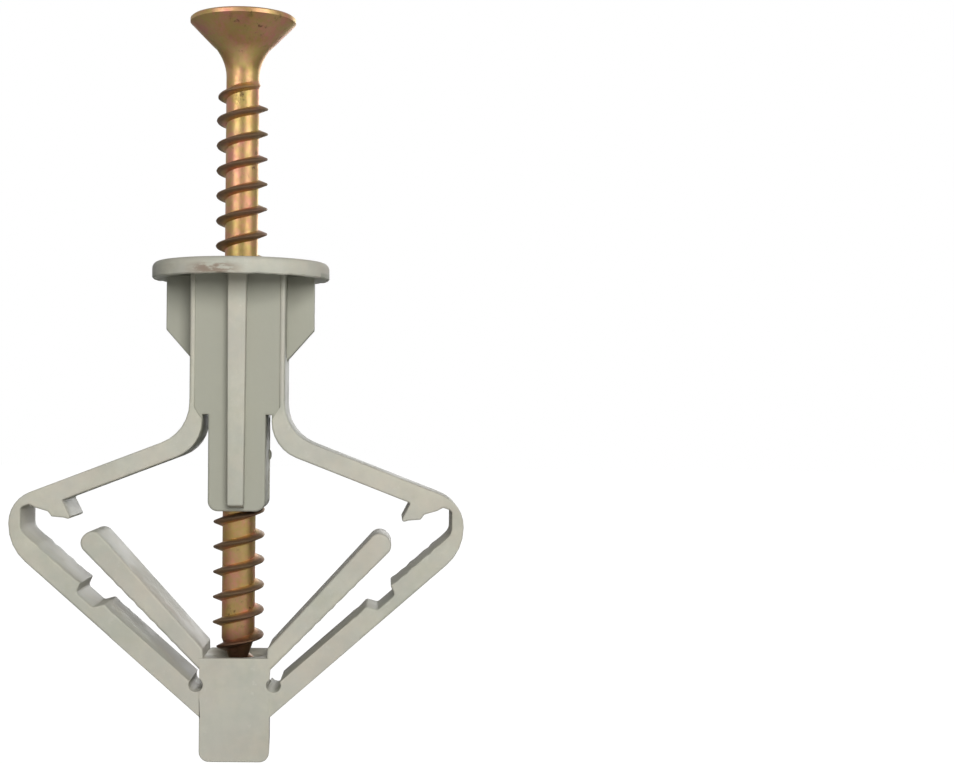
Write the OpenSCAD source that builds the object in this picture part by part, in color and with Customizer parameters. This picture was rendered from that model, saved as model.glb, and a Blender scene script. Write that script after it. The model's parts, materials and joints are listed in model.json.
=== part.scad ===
// Folding wall anchor for board: a one-piece moulding with living hinges, and its wood screw.
// +Z runs along the screw towards its head, X is the way the wings spread, and the origin is
// on the axis at the underside of the flange, where the anchor bears on the wall.
// Right-hand outlines are drawn in the XZ plane, and the left-hand ones are their mirror.

/* [Collar] */
// Diameter of the flange that bears on the wall
flange_d = 13.4; // [12.4:0.2:16]
// Thickness of the flange
flange_t = 1.3; // [1.2:0.1:1.8]
// Width of the barrel across the wings
barrel_w = 7.1; // [7:0.1:7.3]
// Depth of the barrel and of the guide tube, front to back
barrel_depth = 5.4; // [5.2:0.1:5.5]
// Bore that the screw runs through
bore_d = 4.1; // [4.1:0.02:4.2]

/* [Ribs and fins] */
// Width of the long front and back ribs
rib_w = 1.4; // [1:0.1:1.8]
// How far each rib stands proud of the barrel
rib_height = 1; // [0.8:0.1:1.3]
// Reach of the side fins from the axis
fin_reach = 5.6; // [4.6:0.1:6]
// Thickness of the side fins
fin_t = 1; // [0.8:0.1:1.6]

/* [Wings] */
// Depth of the wings, front to back
wing_depth = 5.5; // [4.6:0.1:5.7]
// Thickness of the upper arms
upper_arm_t = 1.42; // [1.3:0.02:1.46]
// Thickness of the lower arms
lower_arm_t = 1.52; // [1.4:0.02:1.56]
// Thickness of the lower arms where the waist hinge thins them
waist_t = 0.84; // [0.7:0.02:0.9]

/* [Struts] */
// Thickness of each strut at its root
strut_root_t = 1.45; // [1.2:0.05:1.5]
// Thickness of each strut at its tip
strut_tip_t = 1.8; // [1.5:0.05:1.9]
// Angle that the struts make with the wall face as moulded
strut_angle = 47; // [46:0.1:47.5]

/* [Nut block] */
// Width of the block that the screw draws up
block_w = 5.24; // [5.1:0.02:5.3]
// Depth of the block, front to back
block_depth = 5.7; // [5.5:0.1:5.9]
// Height of the block
block_h = 7.7; // [7.4:0.1:8.4]

/* [Screw] */
// Length of the screw over its head
screw_len = 50; // [45:1:56]
// Diameter of the head
head_d = 8; // [7.6:0.1:8.4]
// Diameter over the thread
thread_d = 3.9; // [3.7:0.05:3.92]
// Diameter of the shank between the threads
shank_d = 2.5; // [2.3:0.05:2.6]
// Pitch of the thread
pitch = 1.9; // [1.6:0.1:2.2]

/* [Hidden] */

// Colours of the moulding and of the plated steel
plastic = [0.68, 0.68, 0.62];
plastic_shade = [0.62, 0.62, 0.56];
plated = [0.78, 0.62, 0.34];

// Levels along the axis, measured from the wall face
slot_top_z = -10.2;
tube_end_z = -17.4;
rib_end_z = -17.2;
rib_taper = 2;
fin_straight_z = -3.8;
fin_end_z = -6.15;
block_top_z = -28.3;
block_end_z = block_top_z - block_h;
head_top_z = 19.9;

// Collar details
flange_edge_r = 0.5;
countersink_r = 2.42;
countersink_z = 0.9;
key_depth = 0.4;
tube_w = 4.7;
slot_outer_x = 2.7;
corner_r = 0.8;
tube_corner_r = 0.6;

// Hinge lines, as points in the XZ plane, with the radius of each hinge knuckle
shoulder = [3.35, -10.9];
shoulder_r = 0.62;
elbow = [16.15, -18.35];
elbow_r = 0.8;
waist = [11.46, -24.38];
waist_r = waist_t / 2;
hip = [3.6, -31.1];
hip_r = 0.5;
strut_root = [2.95, -28.75];
strut_root_r = 0.55;
strut_shy = 0.35;
strut_rise = 0.45;
running_gap = 0.05;
hip_gap = 0.42;

// Upper arm: slope below the horizontal, and a point that its top line passes through
upper_slope = 21.1;
upper_top = [5.6, -12.3];
shoulder_top_r = 3.2;
shoulder_under_r = 2.9;
elbow_centre = [14.5, -18.4];

// Lower arm: slope, and a point that its outer line passes through
lower_slope = 41.2;
lower_outer = [12.8, -23.77];
waist_recess_half = 1.1;
elbow_bar_end = 3;
hip_bar_end = 9.9;
bar_lap = 0.5;

// Catch: the hooked rib under the upper arm that the strut snaps behind
catch_root_x = 12.95;
catch_tip = [12.25, -18.1];
catch_heel = [15.2, -17.55];

strut_len = 12.6;

// Screw details, measured down from the top of the head
head_rim_t = 0.45;
cone_r = 2;
cone_end = 2.4;
neck_start = 4;
thread_start = 4.6;
point_len = 3;
core_r = 0.7;
core_gap = 0.03;
core_top = 4.2;
core_end = 46;
recess_half_w = 2.1;
recess_foot = 0.8;
recess_depth = 2.2;
recess_slot = 0.9;
thread_base_w = 0.95;
thread_crest_w = 0.14;
steps_per_turn = 20;

screw_tip_z = head_top_z - screw_len;
point_base_z = screw_tip_z + point_len;
shank_r = shank_d / 2;
thread_r = thread_d / 2;

// Points along an arc of radius r about c, from angle a to angle b
function arc(c, r, a, b, n = 8) =
    [for (i = [0:n]) c + r * [cos(a + (b - a) * i / n), sin(a + (b - a) * i / n)]];

// Height at x of a line through p that climbs at the angle given
function line_z(p, angle, x) = p[1] + tan(angle) * (x - p[0]);

// Distance from point c down to the line through p at the angle given
function drop_to_line(c, p, angle) = (c[1] - line_z(p, angle, c[0])) * cos(angle);

// Radius of the fillet that starts on the vertical at x, level z, and ends on the line
function fillet_r(x, z, p, angle) =
    (z - line_z(p, angle, x)) * cos(angle) / (1 + sin(angle));

// Extrudes an XZ outline along Y, centred
module slab(depth) {
    rotate([90, 0, 0]) linear_extrude(depth, center = true) children();
}

// Round pin or socket along Y through an XZ point
module hinge_pin(p, r, depth) {
    translate([p[0], 0, p[1]]) rotate([90, 0, 0]) cylinder(r = r, h = depth, center = true, $fn = 48);
}

// Bar along Z with rounded upright edges
module rounded_bar(w, d, r, z0, z1) {
    translate([0, 0, z0]) linear_extrude(z1 - z0) {
        square([w - 2 * r, d], center = true);
        square([w, d - 2 * r], center = true);
        for (x = [-1, 1], y = [-1, 1])
            translate([x * (w / 2 - r), y * (d / 2 - r)]) circle(r = r, $fn = 32);
    }
}

// Bore along the axis
module bore(z0, z1) {
    translate([0, 0, z0]) cylinder(d = bore_d, h = z1 - z0, $fn = 64);
}

// Flange: a disc with a small countersink, keyed on the underside for what stands on it
module flange() {
    rim_r = flange_d / 2;
    color(plastic) difference() {
        rotate_extrude($fn = 96)
            polygon(concat(
                [[bore_d / 2, 0], [rim_r, 0]],
                arc([rim_r - flange_edge_r, flange_t - flange_edge_r], flange_edge_r, 0, 90, 5),
                [[countersink_r, flange_t], [bore_d / 2, countersink_z]]));
        rounded_bar(barrel_w, barrel_depth, corner_r, -1, key_depth);
        for (foot = [[rib_w, barrel_depth + 2 * rib_height], [2 * fin_reach, fin_t]])
            translate([0, 0, key_depth - 1]) linear_extrude(1) square(foot, center = true);
    }
}

module barrel() {
    color(plastic) difference() {
        rounded_bar(barrel_w, barrel_depth, corner_r, slot_top_z, key_depth);
        bore(slot_top_z - 1, 1);
    }
}

module guide_tube() {
    color(plastic) difference() {
        intersection() {
            rounded_bar(tube_w, barrel_depth, corner_r, tube_end_z, slot_top_z);
            slab(barrel_depth + 1) {
                translate([-tube_w / 2, tube_end_z + tube_corner_r])
                    square([tube_w, slot_top_z - tube_end_z - tube_corner_r]);
                translate([tube_corner_r - tube_w / 2, tube_end_z])
                    square([tube_w - 2 * tube_corner_r, tube_corner_r]);
                for (x = [-1, 1])
                    translate([x * (tube_w / 2 - tube_corner_r), tube_end_z + tube_corner_r])
                        circle(r = tube_corner_r, $fn = 32);
            }
        }
        bore(tube_end_z - 1, slot_top_z + 1);
    }
}

// Long rib on the front face, which runs out to nothing at its lower end
module rib() {
    face = barrel_depth / 2;
    rotate([90, 0, -90]) linear_extrude(rib_w, center = true)
        polygon([[face, key_depth], [face + rib_height, key_depth],
                 [face + rib_height, rib_end_z + rib_taper], [face, rib_end_z]]);
}

module front_rib() { color(plastic) rib(); }
module back_rib() { color(plastic) rotate([0, 0, 180]) rib(); }

module fin() {
    slab(fin_t)
        polygon([[barrel_w / 2, key_depth], [fin_reach, key_depth],
                 [fin_reach, fin_straight_z], [barrel_w / 2, fin_end_z]]);
}

module right_fin() { color(plastic) fin(); }
module left_fin() { color(plastic) mirror([1, 0, 0]) fin(); }

// Upper arm: shoulder knuckle, straight arm, and the outer half of the elbow's bend
module upper_arm() {
    under = upper_top - [0, upper_arm_t / cos(upper_slope)];
    lift = 90 - upper_slope;
    top_c = [barrel_w / 2 + shoulder_top_r,
             line_z(upper_top, -upper_slope, barrel_w / 2 + shoulder_top_r)
             + shoulder_top_r / cos(upper_slope)];
    under_c = [slot_outer_x + shoulder_under_r,
               line_z(under, -upper_slope, slot_outer_x + shoulder_under_r)
               + shoulder_under_r / cos(upper_slope)];
    bend_r = -drop_to_line(elbow_centre, upper_top, -upper_slope);
    difference() {
        slab(wing_depth) polygon(concat(
            arc(under_c, shoulder_under_r, 190, 270 - upper_slope, 6),
            [[catch_heel[0], line_z(under, -upper_slope, catch_heel[0])]],
            arc(elbow_centre, bend_r, 26, lift, 8),
            arc(top_c, shoulder_top_r, 270 - upper_slope, 208, 5)));
        hinge_pin(elbow, elbow_r + running_gap, wing_depth + 1);
        hinge_pin(shoulder, shoulder_r, wing_depth + 1);
    }
    hinge_pin(shoulder, shoulder_r, wing_depth);
}

// Catch: the hooked rib under the upper arm
module catch() {
    under = upper_top - [0, upper_arm_t / cos(upper_slope)];
    difference() {
        slab(wing_depth) polygon([
            [catch_root_x, line_z(under, -upper_slope, catch_root_x)],
            catch_tip, catch_tip + [0.3, -0.1], catch_heel - [1.2, 0.25], catch_heel,
            [catch_heel[0], line_z(under, -upper_slope, catch_heel[0])]]);
        hinge_pin(elbow, elbow_r + running_gap, wing_depth + 1);
    }
}

// Point on the lower arm: distance along it from the waist, and height above its outer line
function on_bar(along, height) =
    waist + drop_to_line(waist, lower_outer, lower_slope) * [sin(lower_slope), -cos(lower_slope)]
    + along * [cos(lower_slope), sin(lower_slope)] + height * [-sin(lower_slope), cos(lower_slope)];

// Straight stretch of the lower arm
module lower_bar(from, to, t) {
    polygon([on_bar(from, 0), on_bar(to, 0), on_bar(to, t), on_bar(from, t)]);
}

// Outer part of the lower arm, from the elbow to the waist
module elbow_arm() {
    rim = elbow + [elbow_r, 0];
    bend_r = drop_to_line(rim, lower_outer, lower_slope) / (1 - sin(lower_slope));
    slab(wing_depth) {
        polygon(concat(
            [elbow], arc(rim - [bend_r, 0], bend_r, 0, lower_slope - 90, 6),
            [on_bar(elbow_bar_end, 0), on_bar(elbow_bar_end, lower_arm_t),
             on_bar(elbow_bar_end + 1.9, lower_arm_t), elbow + elbow_r * [cos(215), sin(215)]]));
        lower_bar(0, elbow_bar_end, waist_t);
        lower_bar(waist_recess_half, elbow_bar_end + bar_lap, lower_arm_t);
    }
    hinge_pin(elbow, elbow_r, wing_depth);
    hinge_pin(waist, waist_r, wing_depth);
}

// Inner part of the lower arm, from the waist to the hip
module hip_arm() {
    difference() {
        union() {
            slab(wing_depth) {
                lower_bar(-waist_recess_half - bar_lap, 0, waist_t);
                lower_bar(-hip_bar_end, -waist_recess_half, lower_arm_t);
            }
            hinge_pin(hip, hip_r, wing_depth);
        }
        hinge_pin(waist, waist_r + running_gap, wing_depth + 1);
        hinge_pin(waist + 0.5 * [cos(lower_slope), sin(lower_slope)], waist_r, wing_depth + 1);
    }
}

// Strut: knuckle at the block's corner, tapered bar set above it, and rounded tip
module strut() {
    reach = strut_len - strut_tip_t / 2;
    slab(wing_depth) translate(strut_root) rotate(strut_angle) translate([0, strut_rise]) {
        polygon([[strut_shy, -strut_root_t / 2], [reach, -strut_tip_t / 2], [reach, strut_tip_t / 2],
                 [strut_shy, strut_root_t / 2], [0, strut_root_r]]);
        translate([reach, 0]) circle(d = strut_tip_t, $fn = 48);
    }
    hinge_pin(strut_root, strut_root_r, wing_depth);
}

module right_upper_arm() { color(plastic) upper_arm(); }
module right_catch() { color(plastic_shade) catch(); }
module right_elbow_arm() { color(plastic) elbow_arm(); }
module right_hip_arm() { color(plastic) hip_arm(); }
module right_strut() { color(plastic_shade) strut(); }
module left_upper_arm() { color(plastic) mirror([1, 0, 0]) upper_arm(); }
module left_catch() { color(plastic_shade) mirror([1, 0, 0]) catch(); }
module left_elbow_arm() { color(plastic) mirror([1, 0, 0]) elbow_arm(); }
module left_hip_arm() { color(plastic) mirror([1, 0, 0]) hip_arm(); }
module left_strut() { color(plastic_shade) mirror([1, 0, 0]) strut(); }

module nut_block() {
    color(plastic) difference() {
        rounded_bar(block_w, block_depth, corner_r, block_end_z, block_top_z);
        bore(block_end_z - 1, block_top_z + 1);
        for (side = [-1, 1]) scale([side, 1, 1]) {
            hinge_pin(strut_root, strut_root_r + running_gap, block_depth + 1);
            hinge_pin(hip, hip_r + hip_gap, block_depth + 1);
        }
    }
}

// Plain round core that carries the turning part of the screw along the axis
module screw_core() {
    color(plated) translate([0, 0, head_top_z - core_end])
        cylinder(r = core_r, h = core_end - core_top, $fn = 32);
}

// Cross recess cut into the top of the head
module cross_recess() {
    for (turn = [0, 90]) rotate([0, 0, turn]) slab(recess_slot)
        polygon([[-recess_half_w, 0.1], [recess_half_w, 0.1], [recess_half_w, 0],
                 [recess_foot, -recess_depth], [-recess_foot, -recess_depth], [-recess_half_w, 0]]);
}

module screw_head() {
    fillet_h = neck_start - cone_end;
    color(plated) translate([0, 0, head_top_z]) difference() {
        rotate_extrude($fn = 64) polygon([
            [0, 0], [head_d / 2 - 0.1, 0], [head_d / 2, -0.1], [head_d / 2, -head_rim_t],
            [cone_r, -cone_end], [cone_r - 0.45, -cone_end - fillet_h / 3], [shank_r, -neck_start],
            [0, -neck_start]]);
        cross_recess();
    }
}

module screw_shank() {
    color(plated) translate([0, 0, point_base_z]) difference() {
        cylinder(r = shank_r, h = head_top_z - neck_start - point_base_z, $fn = 48);
        translate([0, 0, -1]) cylinder(r = core_r + core_gap, h = screw_len, $fn = 32);
    }
}

module screw_point() {
    color(plated) translate([0, 0, screw_tip_z]) rotate_extrude($fn = 48)
        polygon([[0, 0], [0.12, 0], [shank_r, point_len], [0, point_len]]);
}

// Radius of the screw's solid under the thread at level z
function root_r(z) =
    let (t = (z - screw_tip_z) / point_len) t >= 1 ? shank_r : 0.12 + (shank_r - 0.12) * max(t, 0);

// Radius of the thread's crest: it fades in below the head and narrows towards the point
function crest_r(z) =
    let (fade = min(1, max(0, (head_top_z - thread_start - z) / 0.9)),
         narrow = min(1, max(0, (z - screw_tip_z + 0.4) / (point_len + 1.4))))
    root_r(z) + 0.06 + (thread_r - shank_r - 0.06) * fade * narrow;

// Right-hand thread: one closed ridge swept along the helix
module screw_thread() {
    low_z = screw_tip_z + 0.7;
    high_z = head_top_z - thread_start;
    rings = floor((high_z - low_z) / pitch * steps_per_turn);
    clear = 0.014;
    point_clear = 0.05;
    profile = [[-1, 0], [-1, 1], [1, 1], [1, 0]];
    function half_w(out) = (out == 0 ? thread_base_w : thread_crest_w) / 2;
    points = [for (i = [0:rings]) let (turn = 360 * i / steps_per_turn, mid = low_z + pitch * i / steps_per_turn)
        for (corner = profile)
            let (z = mid + corner[0] * half_w(corner[1]),
                 gap = z < point_base_z + 0.5 ? point_clear : clear,
                 r = corner[1] == 0 ? root_r(z) / cos(180 / steps_per_turn) + gap : crest_r(mid))
            [r * cos(turn), r * sin(turn), z]];
    sides = [for (i = [0:rings - 1], k = [0:3])
        let (a = 4 * i + k, b = 4 * i + (k + 1) % 4) each [[a, b, b + 4], [a, b + 4, a + 4]]];
    last = 4 * rings;
    color(plated) polyhedron(points, concat([[3, 2, 1], [3, 1, 0]], sides,
        [[last, last + 1, last + 2], [last, last + 2, last + 3]]));
}

flange();
barrel();
guide_tube();
front_rib();
back_rib();
right_fin();
left_fin();
right_upper_arm();
right_catch();
right_elbow_arm();
right_hip_arm();
right_strut();
left_upper_arm();
left_catch();
left_elbow_arm();
left_hip_arm();
left_strut();
nut_block();
screw_core();
screw_head();
screw_shank();
screw_thread();
screw_point();
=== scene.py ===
"""Folding wall anchor and its wood screw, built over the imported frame.

Sizes are in millimetres unless a name says otherwise, and meshes are scaled to metres when they
are finished. X is the way the wings spread, +Z runs along the screw towards its head, and the
origin is on the axis at the underside of the flange. Right-hand outlines are drawn in the XZ
plane, and the left-hand ones are their mirror.
"""

import json
import logging
import math
from collections.abc import Iterable, Sequence
from dataclasses import dataclass, field, replace
from enum import Enum

import bmesh
import bpy
from mathutils import Matrix, Vector


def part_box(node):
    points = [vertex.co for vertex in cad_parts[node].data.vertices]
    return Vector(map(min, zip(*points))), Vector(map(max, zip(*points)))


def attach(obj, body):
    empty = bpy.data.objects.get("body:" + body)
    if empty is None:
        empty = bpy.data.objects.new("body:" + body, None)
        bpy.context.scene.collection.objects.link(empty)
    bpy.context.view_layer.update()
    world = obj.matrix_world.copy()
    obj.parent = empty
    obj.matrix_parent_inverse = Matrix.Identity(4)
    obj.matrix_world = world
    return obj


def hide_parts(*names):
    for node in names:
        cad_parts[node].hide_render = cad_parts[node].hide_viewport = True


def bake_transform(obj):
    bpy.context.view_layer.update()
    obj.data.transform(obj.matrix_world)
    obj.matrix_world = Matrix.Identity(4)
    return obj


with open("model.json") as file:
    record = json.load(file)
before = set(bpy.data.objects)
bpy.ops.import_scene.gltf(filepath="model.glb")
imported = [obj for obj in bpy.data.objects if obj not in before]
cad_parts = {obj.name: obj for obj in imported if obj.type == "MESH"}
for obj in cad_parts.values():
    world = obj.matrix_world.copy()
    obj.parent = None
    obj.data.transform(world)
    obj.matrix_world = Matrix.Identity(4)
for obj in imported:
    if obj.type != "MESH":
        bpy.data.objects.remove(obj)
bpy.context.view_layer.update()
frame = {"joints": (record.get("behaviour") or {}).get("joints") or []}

MM = 0.001
TINY = 1e-4
# Levels where the shoulders take over from the barrel, on its outer wall and in the slot.
SEAM_Z = (-9.1, -10.6)
# Outer side of the slots beside the guide tube.
SLOT_X = 2.58
# Keyhole between the lower arm and the nut block, as its centre and radius.
KEYHOLE = ((2.9, -30.3), 0.53)
# A face with more corners than this is a flat cap, whose edges stay crisp.
BROAD_FACE = 8
# Facets round the bores and the screw.
BORE_STEPS = 64
JOINTS = {joint["name"]: joint for joint in frame["joints"]}
log = logging.getLogger("wall_anchor")

Socket = bpy.types.NodeSocket
Mesh = bmesh.types.BMesh
Piece = bpy.types.Object
Pair = tuple[float, float]
Triple = tuple[float, float, float]
Colour = tuple[float, float, float, float]


class Side(Enum):
    """The side of the axis that a wing stands on, with the sign of its X."""

    RIGHT = 1
    LEFT = -1

    @property
    def label(self) -> str:
        """The side's word in body and node names."""
        return self.name.lower()


class Slot(Enum):
    """The material slots of the record."""

    MOULDING = "moulding"
    PLATED = "plated_steel"


# --- outlines ------------------------------------------------------------------------------


@dataclass(frozen=True)
class Corner:
    """A corner of an outline, and how the edge that leaves it is treated.

    Attributes:
        x: place across the wings.
        z: place along the axis.
        r: radius of the fillet that rounds the corner.
        seam: True where the edge that leaves it meets another piece, so it stays square.
        ripple: height of the moulding's unevenness along the edge that leaves it.
    """

    x: float
    z: float
    r: float = 0.0
    seam: bool = False
    ripple: float = 0.0


@dataclass(frozen=True)
class Bar:
    """A straight stretch of the wing: its outer line and its thickness.

    Attributes:
        foot: a point on the outer line.
        slope: angle of the line above the horizontal, in degrees.
        thickness: distance from the outer line to the inner one.
        inward: 1 where the inner side is anticlockwise of the line's direction, or -1.
    """

    foot: Vector
    slope: float
    thickness: float
    inward: int

    def at(self, along: float, depth: float) -> Pair:
        """Point at a distance along the bar and a depth below its outer line."""
        turn = math.radians(self.slope)
        way = Vector((math.cos(turn), math.sin(turn)))
        point = self.foot + along * way + depth * self.inward * Vector((-way.y, way.x))
        return point.x, point.y

    def corner(self, along: float, depth: float, **how: object) -> Corner:
        """A corner of an outline, given by its place on the bar."""
        return Corner(*self.at(along, depth), **how)

    def height(self, x: float, depth: float = 0.0) -> float:
        """Level at x of the line that runs at that depth below the outer one."""
        start = Vector(self.at(0, depth))
        return start.y + math.tan(math.radians(self.slope)) * (x - start.x)


def arc(centre: Pair, r: float, start: float, end: float,
        steps: int = 8) -> list[Corner]:
    """Corners along an arc.

    Args:
        centre: its centre in the XZ plane.
        r: its radius.
        start: angle of its first point, in degrees.
        end: angle of its last point.
        steps: number of chords.

    Returns:
        The corners in order, with no fillets.
    """
    angles = (math.radians(start + (end - start) * i / steps) for i in range(steps + 1))
    return [Corner(centre[0] + r * math.cos(a), centre[1] + r * math.sin(a)) for a in angles]


@dataclass
class Outline:
    """A closed outline in the XZ plane, with its corners rounded by formula.

    Attributes:
        corners: its corners in order.
        spacing: longest chord along an edge.
        wave: length of one ripple.
        seams: the stretches that meet other pieces, noted by points().
    """

    corners: Sequence[Corner]
    spacing: float = 0.45
    wave: float = 1.15
    seams: list[tuple[Vector, Vector]] = field(default_factory=list)

    def _fillet(self, before: Vector, corner: Corner, after: Vector) -> list[Vector]:
        """Points of one rounded corner, from the edge before it to the edge after it.

        Args:
            before: the corner before it.
            corner: the corner itself.
            after: the corner after it.

        Returns:
            The points in order, just one where it has no radius.
        """
        here = Vector((corner.x, corner.z))
        if corner.r == 0:
            return [here]
        back, ahead = (before - here).normalized(), (after - here).normalized()
        half = back.angle(ahead) / 2
        centre = here + (back + ahead).normalized() * corner.r / math.sin(half)
        first = here + back * corner.r / math.tan(half) - centre
        sweep = math.pi - 2 * half
        if back.x * ahead.y - back.y * ahead.x > 0:
            sweep = -sweep
        steps = max(2, round(abs(sweep) / math.radians(12)))
        return [centre + Matrix.Rotation(sweep * i / steps, 2) @ first for i in range(steps + 1)]

    def points(self) -> list[Vector]:
        """Works out the outline's points, and notes where its seams are.

        Returns:
            The points in order, with no repeats.
        """
        marks = [Vector((c.x, c.z)) for c in self.corners]
        count = len(marks)
        rounded = [self._fillet(marks[i - 1], self.corners[i], marks[(i + 1) % count])
                   for i in range(count)]
        made: list[Vector] = []
        self.seams = []
        for i, corner in enumerate(self.corners):
            start, end = rounded[i][-1], rounded[(i + 1) % count][0]
            made += rounded[i]
            if corner.seam:
                self.seams.append((start, end))
            gap = end - start
            if gap.length < TINY:
                made.pop()
                continue
            across = Vector((-gap.y, gap.x)).normalized()
            steps = max(1, round(gap.length / self.spacing))
            for k in range(1, steps):
                swell = corner.ripple * math.sin(2 * math.pi * k / steps * gap.length / self.wave)
                fade = math.sin(math.pi * k / steps)
                made.append(start + gap * k / steps + across * swell * fade)
        return made

    def on_seam(self, points: Iterable[Vector]) -> bool:
        """True if all the points given lie on one of the outline's seams.

        Args:
            points: points of a mesh, in three dimensions.

        Returns:
            Whether one seam holds them all.
        """
        flat = [Vector((p.x, p.z)) for p in points]

        def near(p: Vector, a: Vector, b: Vector) -> bool:
            """True if p lies on the stretch from a to b."""
            return abs((p - a).length + (b - p).length - (b - a).length) < TINY

        return any(all(near(p, a, b) for p in flat) for a, b in self.seams)


# --- meshes --------------------------------------------------------------------------------


def extrude(bm: Mesh, ring: Iterable[Sequence[float]], way: Sequence[float]) -> None:
    """Makes a face round a ring of points and extrudes it.

    Args:
        bm: the mesh that it goes in.
        ring: the points in order.
        way: how far it is extruded, and which way.
    """
    face = bm.faces.new([bm.verts.new(p) for p in ring])
    made = bmesh.ops.extrude_face_region(bm, geom=[face])["geom"]
    bmesh.ops.translate(bm, vec=way, verts=[g for g in made if isinstance(g, bmesh.types.BMVert)])


def soften(bm: Mesh, edges: list[bmesh.types.BMEdge], r: float) -> None:
    """Rounds edges to a radius."""
    bmesh.ops.bevel(bm, geom=edges, offset=r, offset_type="OFFSET", segments=3, profile=0.5,
                    affect="EDGES", clamp_overlap=True, material=-1)


def slab(outline: Outline, depth: float, edge_r: float,
         side: Side = Side.RIGHT) -> Mesh:
    """Extrudes an XZ outline along Y, centred, and rounds its front and back edges.

    Args:
        outline: the right-hand outline.
        depth: how deep the slab is, front to back.
        edge_r: radius of the front and back edges.
        side: LEFT mirrors the slab.

    Returns:
        The closed mesh, in millimetres.
    """
    bm = bmesh.new()
    extrude(bm, [(p.x, -depth / 2, p.y) for p in outline.points()], (0, depth, 0))
    rims = [e for e in bm.edges if abs(e.verts[0].co.y - e.verts[1].co.y) < TINY
            and not outline.on_seam(v.co for v in e.verts)]
    soften(bm, rims, edge_r)
    bmesh.ops.scale(bm, vec=(side.value, 1, 1), verts=bm.verts)
    bmesh.ops.recalc_face_normals(bm, faces=bm.faces)
    return bm


def lathe(profile: Sequence[Pair], steps: int = 96) -> Mesh:
    """Spins a profile round the axis.

    Args:
        profile: (radius, level) points in order. It starts and ends on the axis, or is a ring
            whose last point joins its first.
        steps: number of facets round the axis.

    Returns:
        The closed mesh, in millimetres.
    """
    bm = bmesh.new()
    ring = [bm.verts.new((r, 0, z)) for r, z in profile]
    pairs = list(zip(ring, ring[1:]))
    if profile[0][0] > 0:
        pairs.append((ring[-1], ring[0]))
    edges = [bm.edges.new(pair) for pair in pairs]
    bmesh.ops.spin(bm, geom=ring + edges, cent=(0, 0, 0), axis=(0, 0, 1), dvec=(0, 0, 0),
                   angle=2 * math.pi, steps=steps, use_merge=True, use_duplicate=False)
    bmesh.ops.remove_doubles(bm, verts=bm.verts, dist=TINY)
    bmesh.ops.recalc_face_normals(bm, faces=bm.faces)
    return bm


def to_object(name: str, bm: Mesh, sharp: float = 34.0) -> Piece:
    """Turns a mesh in millimetres into an object at the origin in metres.

    Args:
        name: the piece's name.
        bm: its mesh, which is freed.
        sharp: edges that turn more than this many degrees stay crisp.

    Returns:
        The object, linked to the scene.
    """
    bmesh.ops.scale(bm, vec=(MM, MM, MM), verts=bm.verts)
    for f in bm.faces:
        f.smooth = True
    limit = math.radians(sharp)
    for e in bm.edges:
        broad = any(len(f.verts) > BROAD_FACE for f in e.link_faces)
        e.smooth = not broad and e.calc_face_angle(math.pi) < limit
    mesh = bpy.data.meshes.new(name)
    bm.to_mesh(mesh)
    bm.free()
    made = bpy.data.objects.new(name, mesh)
    bpy.context.scene.collection.objects.link(made)
    return made


def combine(target: Piece, other: Piece, how: str = "DIFFERENCE") -> None:
    """Cuts one object's shape out of another, or joins them, and removes the second.

    Args:
        target: the object that is kept.
        other: the shape that is taken away or added.
        how: the operation, DIFFERENCE or UNION.
    """
    step = target.modifiers.new("combine", "BOOLEAN")
    step.operation, step.solver, step.object = how, "EXACT", other
    bpy.context.view_layer.update()
    ready = target.evaluated_get(bpy.context.evaluated_depsgraph_get())
    mesh = bpy.data.meshes.new_from_object(ready)
    target.modifiers.clear()
    old, target.data = target.data, mesh
    mesh.name = target.name
    bpy.data.meshes.remove(old)
    bpy.data.objects.remove(other)


def unit(value: float) -> float:
    """The value, held between 0 and 1."""
    return min(1.0, max(0.0, value))


def hinge_point(joint: str) -> Vector:
    """A hinge's place in the XZ plane, in millimetres, on the right-hand side."""
    x, _, z = JOINTS[joint]["pos_m"]
    return Vector((abs(x), z)) / MM


def half_width(node: str, axis: int) -> float:
    """Reach of a CAD node from the axis along X (0) or Y (1), in millimetres."""
    low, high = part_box(node)
    return max(abs(low[axis]), abs(high[axis])) / MM


def levels(node: str) -> Pair:
    """Lowest and highest level of a CAD node, in millimetres."""
    low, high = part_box(node)
    return low[2] / MM, high[2] / MM


# --- finishes ------------------------------------------------------------------------------


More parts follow.
